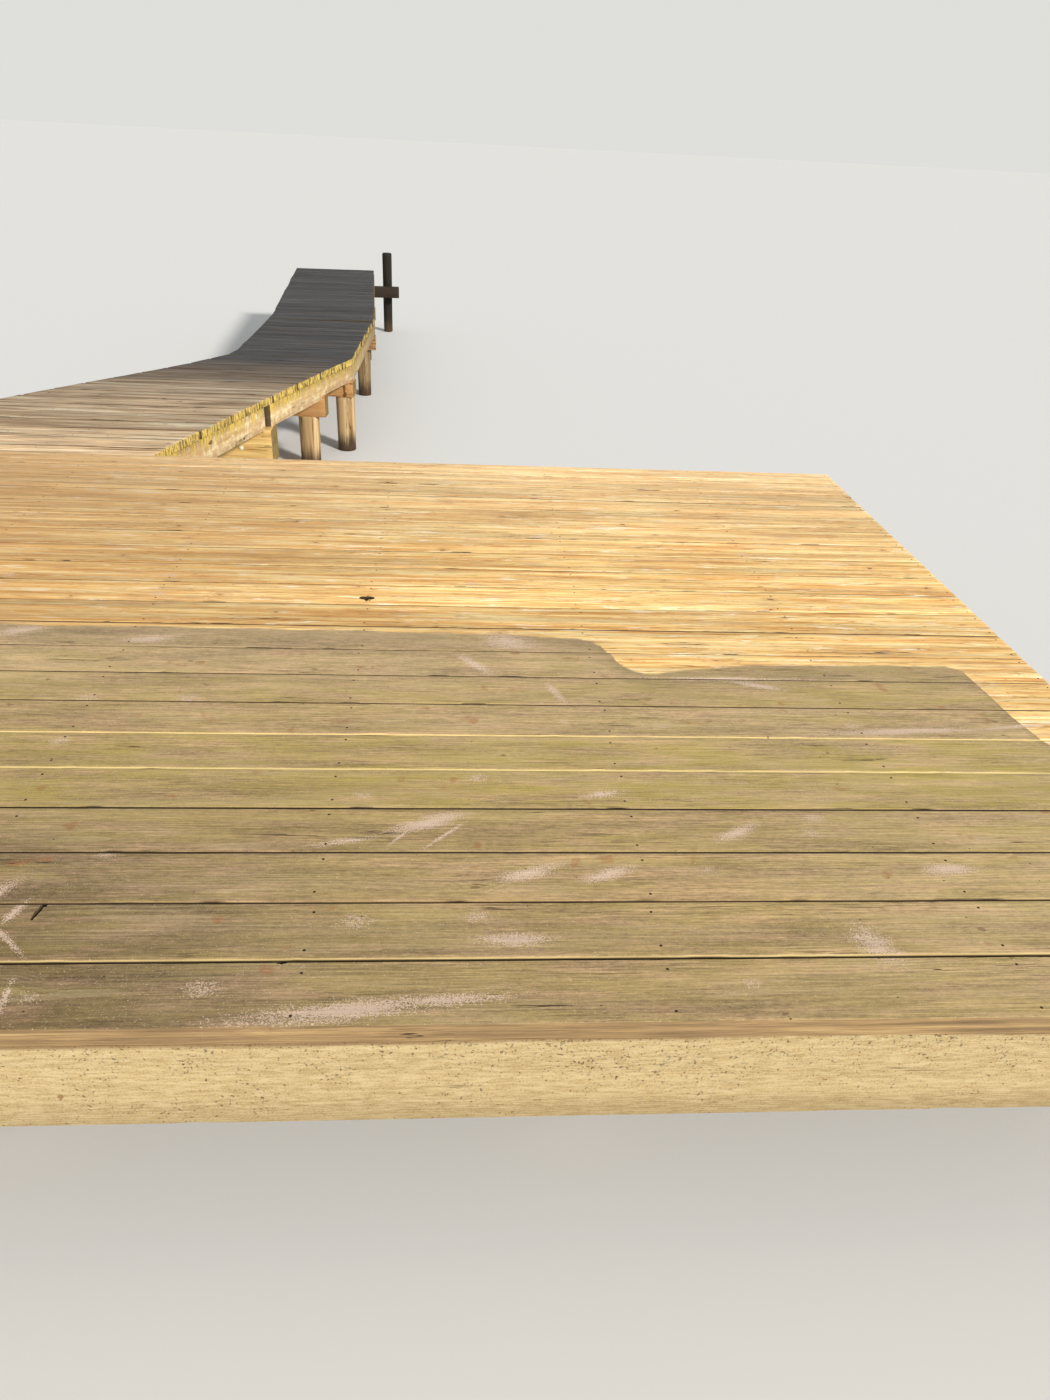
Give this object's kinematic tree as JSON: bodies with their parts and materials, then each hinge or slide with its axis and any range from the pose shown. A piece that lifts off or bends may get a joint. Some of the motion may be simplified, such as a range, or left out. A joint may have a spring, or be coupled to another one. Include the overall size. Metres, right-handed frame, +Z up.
{
  "type": "waterfront deck with curved walkway",
  "caption": "Timber deck on joists, beams and round piles, with a narrow flared and curved plank walkway on cross-timber bents leaving its far edge.",
  "frame": {"origin": "middle of the footprint, at the feet of the piles", "axes": "+Y runs from the deck's front edge out along the walkway, +X to the right along the deck boards, +Z up"},
  "size_m": [4.877, 9.356, 0.71],
  "materials": {
    "deck_board": "weathered and washed pine planks",
    "walkway_board": "silvered pine planks with yellow-green growth on the ends",
    "joist": "dull sawn pine",
    "stringer": "sawn pine with yellow-green stain",
    "beam": "heavy sawn timber, checked and stained",
    "pile": "round pine piles, dark at the foot"
  },
  "bodies": {
    "root": {"back_beam": "beam", "back_piles": "pile", "back_rim_joist": "joist", "cap_2": "beam", "cap_3": "beam", "cap_4": "beam", "cap_5": "beam", "cap_6": "beam", "deck_boards_1": "deck_board", "deck_boards_2": "deck_board", "deck_boards_3": "deck_board", "deck_boards_4": "deck_board", "deck_boards_5": "deck_board", "deck_boards_6": "deck_board", "deck_boards_7": "deck_board", "front_beam": "beam", "front_piles": "pile", "front_rim_joist": "joist", "inner_joists": "joist", "landing_sill": "beam", "left_end_joist": "joist", "middle_beam": "beam", "middle_piles": "pile", "mooring_pile": "pile", "piles_1": "pile", "piles_2": "pile", "piles_3": "pile", "piles_4": "pile", "piles_5": "pile", "piles_6": "pile", "right_end_joist": "joist", "walkway_boards_1": "walkway_board", "walkway_boards_2": "walkway_board", "walkway_boards_3": "walkway_board", "walkway_boards_4": "walkway_board", "walkway_boards_5": "walkway_board", "walkway_boards_6": "walkway_board", "walkway_stringers_1": "stringer", "walkway_stringers_2": "stringer", "walkway_stringers_3": "stringer", "walkway_stringers_4": "stringer", "walkway_stringers_5": "stringer", "walkway_stringers_6": "stringer"}
  },
  "joints": []
}
